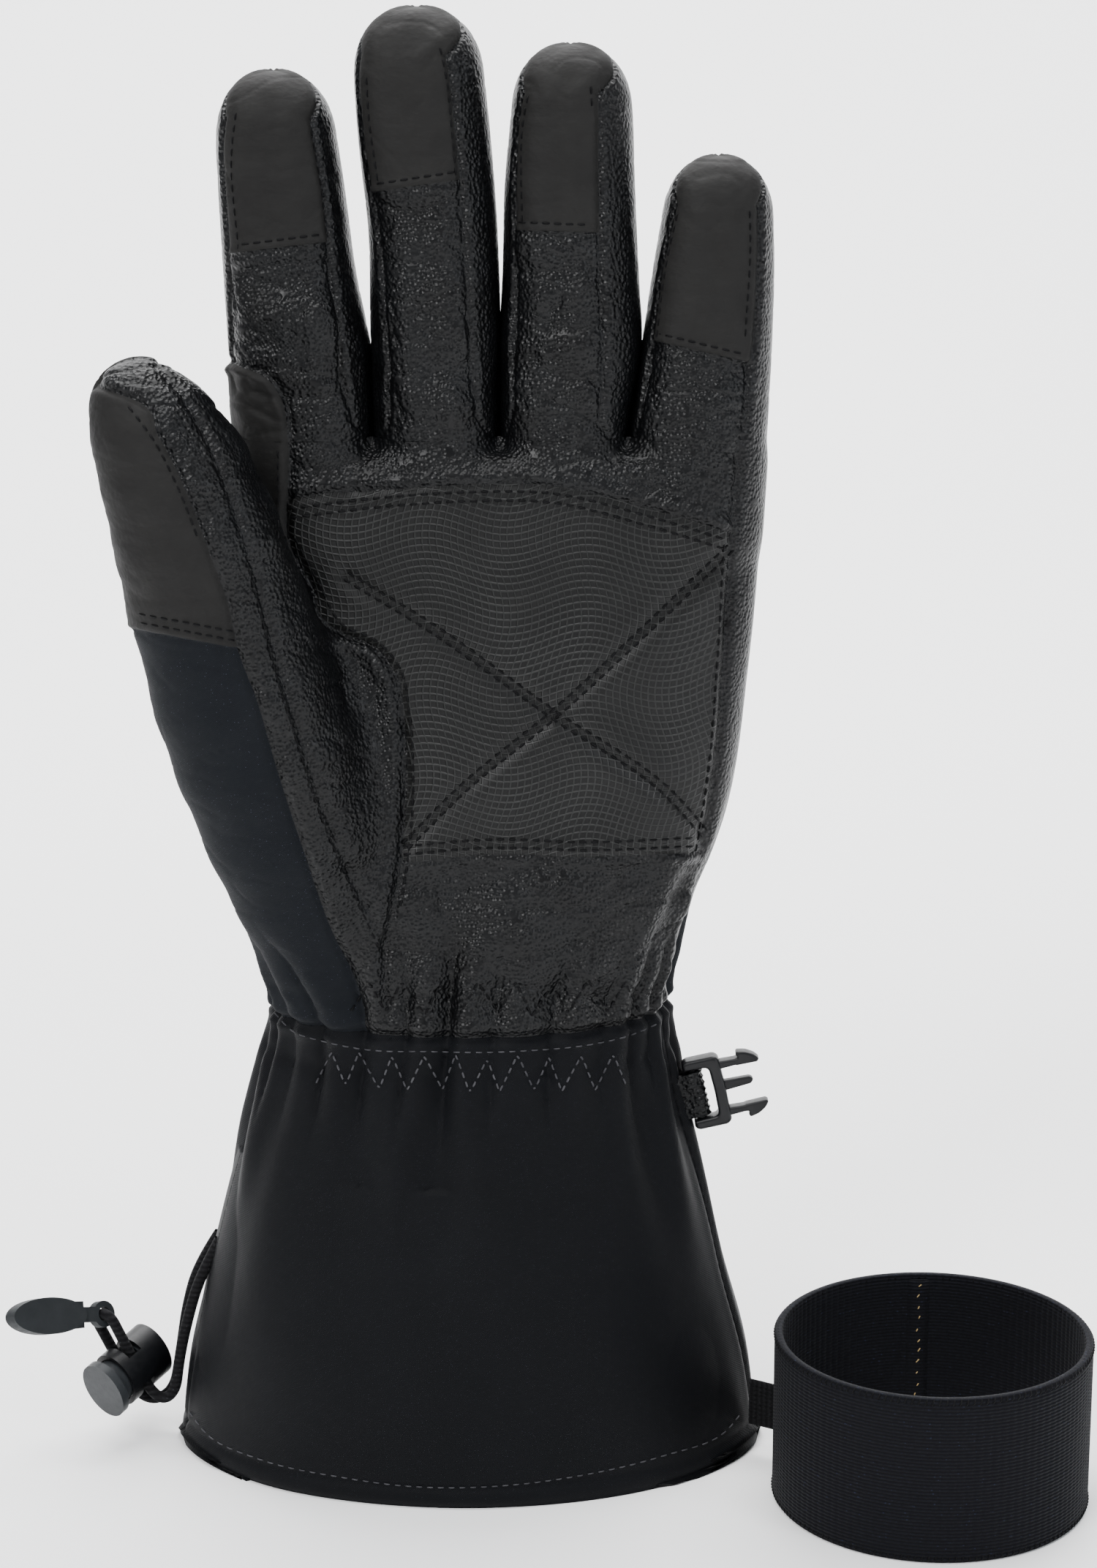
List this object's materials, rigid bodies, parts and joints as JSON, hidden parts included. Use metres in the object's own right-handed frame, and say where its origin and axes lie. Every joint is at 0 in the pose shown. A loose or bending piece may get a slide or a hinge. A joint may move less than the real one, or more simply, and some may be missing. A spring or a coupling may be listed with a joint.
{
  "type": "ski glove",
  "caption": "Insulated left ski glove with grip palm, gathered wrist, drawcord gauntlet cuff, side-release buckle half and wrist leash band.",
  "frame": {"origin": "centre of the cuff mouth, on the surface that the glove stands on", "axes": "+Z towards the fingertips, palm towards -Y, thumb towards -X"},
  "size_m": [0.2409, 0.11, 0.3202],
  "materials": {
    "black_leather": "glossy pebbled goat-like leather",
    "touch_leather": "matte charcoal leather",
    "grip_leather": "embossed wavy-grid synthetic leather",
    "softshell": "matte woven softshell",
    "cuff_shell": "matte woven softshell",
    "insulation": "fibre wadding",
    "fleece": "brushed tricot",
    "elastic": "knitted elastic",
    "webbing": "flat woven webbing",
    "cord_braid": "braided elastic cord",
    "black_plastic": "moulded acetal",
    "grey_rubber": "matte moulded rubber",
    "seam_thread": "stitched seam",
    "spring_steel": "bright wire"
  },
  "bodies": {
    "glove": {"backhand_panel": "softshell", "buckle_tab": "black_leather", "crotch_patch": "touch_leather", "cuff_back": "cuff_shell", "cuff_front": "cuff_shell", "cuff_lining": "fleece", "drawcord": "cord_braid", "drawcord_channel": "webbing", "drawcord_inner_run": "cord_braid", "hand_insulation": "insulation", "hand_lining": "fleece", "hem_facing": "cuff_shell", "palm_grip_patch": "grip_leather", "palm_leather": "black_leather", "thumb_base_leather": "black_leather", "thumb_base_softshell": "softshell", "wrist_elastic": "elastic"},
    "index_finger": {"index_back_panel": "softshell", "index_cap": "touch_leather", "index_front_panel": "black_leather", "index_lining": "fleece", "index_side_walls": "black_leather"},
    "middle_finger": {"middle_back_panel": "softshell", "middle_cap": "touch_leather", "middle_front_panel": "black_leather", "middle_lining": "fleece", "middle_side_walls": "black_leather"},
    "ring_finger": {"ring_back_panel": "softshell", "ring_cap": "touch_leather", "ring_front_panel": "black_leather", "ring_lining": "fleece", "ring_side_walls": "black_leather"},
    "little_finger": {"little_back_panel": "softshell", "little_cap": "touch_leather", "little_front_panel": "black_leather", "little_lining": "fleece", "little_side_walls": "black_leather"},
    "thumb": {"thumb_cap": "touch_leather", "thumb_back_panel": "softshell", "thumb_strip": "black_leather", "thumb_pad": "black_leather", "thumb_lining": "fleece"},
    "buckle": {"buckle_frame": "black_plastic"},
    "prong_upper": {"buckle_prong_upper": "black_plastic"},
    "prong_lower": {"buckle_prong_lower": "black_plastic"},
    "cord_lock": {"cord_lock_body": "black_plastic", "cord_lock_spring": "spring_steel"},
    "lock_plunger": {"cord_lock_plunger": "black_plastic"},
    "tab": {"pull_tab": "grey_rubber"},
    "leash": {"leash_band": "elastic", "leash_band_seam": "seam_thread", "leash_strap": "webbing"}
  },
  "joints": [
    {"name": "index_flex", "type": "hinge", "parent": "glove", "child": "index_finger", "pos_m": [-0.0355, 0, 0.236], "axis": [0.9973, 0, 0.0732], "range_deg": [0, 60], "stiffness_Nm_per_rad": 0.05},
    {"name": "middle_flex", "type": "hinge", "parent": "glove", "child": "middle_finger", "pos_m": [-0.0064, 0, 0.236], "axis": [0.9991, 0, 0.0419], "range_deg": [0, 60], "stiffness_Nm_per_rad": 0.05},
    {"name": "ring_flex", "type": "hinge", "parent": "glove", "child": "ring_finger", "pos_m": [0.0209, 0, 0.236], "axis": [0.9998, 0, -0.0209], "range_deg": [0, 60], "stiffness_Nm_per_rad": 0.05},
    {"name": "little_flex", "type": "hinge", "parent": "glove", "child": "little_finger", "pos_m": [0.0486, 0, 0.2315], "axis": [0.9959, 0, -0.0906], "range_deg": [0, 60], "stiffness_Nm_per_rad": 0.05},
    {"name": "thumb_flex", "type": "hinge", "parent": "glove", "child": "thumb", "pos_m": [-0.057, -0.0235, 0.2105], "axis": [0.9069, 0.2824, 0.3127], "range_deg": [0, 45], "stiffness_Nm_per_rad": 0.05},
    {"name": "buckle_swing", "type": "hinge", "parent": "glove", "child": "buckle", "pos_m": [0.05066, -0.003, 0.08291], "axis": [-0.225, 0, 0.9744], "range_deg": [-35, 35]},
    {"name": "prong_upper_flex", "type": "hinge", "parent": "buckle", "child": "prong_upper", "pos_m": [0.05666, -0.003, 0.09004], "axis": [0, 1, 0], "range_deg": [0, 7], "stiffness_Nm_per_rad": 0.05},
    {"name": "prong_lower_flex", "type": "hinge", "parent": "buckle", "child": "prong_lower", "pos_m": [0.05917, -0.003, 0.07913], "axis": [0, -1, 0], "range_deg": [0, 7], "stiffness_Nm_per_rad": 0.05},
    {"name": "cord_lock_slide", "type": "slide", "parent": "glove", "child": "cord_lock", "axis": [-0.42, 0, 0.9075], "range_m": [0, 0.003]},
    {"name": "plunger_press", "type": "slide", "parent": "cord_lock", "child": "lock_plunger", "axis": [0.5633, 0.7841, 0.2607], "range_m": [0, 0.0024], "stiffness_N_per_m": 400, "deforming": ["cord_lock_spring"]},
    {"name": "pull_tab_swing", "type": "hinge", "parent": "glove", "child": "tab", "pos_m": [-0.0846, -0.00205, 0.029], "axis": [0.7044, -0.6163, 0.3522], "range_deg": [-45, 15]},
    {"name": "leash_swing", "type": "hinge", "parent": "glove", "child": "leash", "pos_m": [0.064, -0.01, 0.012], "axis": [0, 0, 1], "range_deg": [-40, 55]}
  ]
}
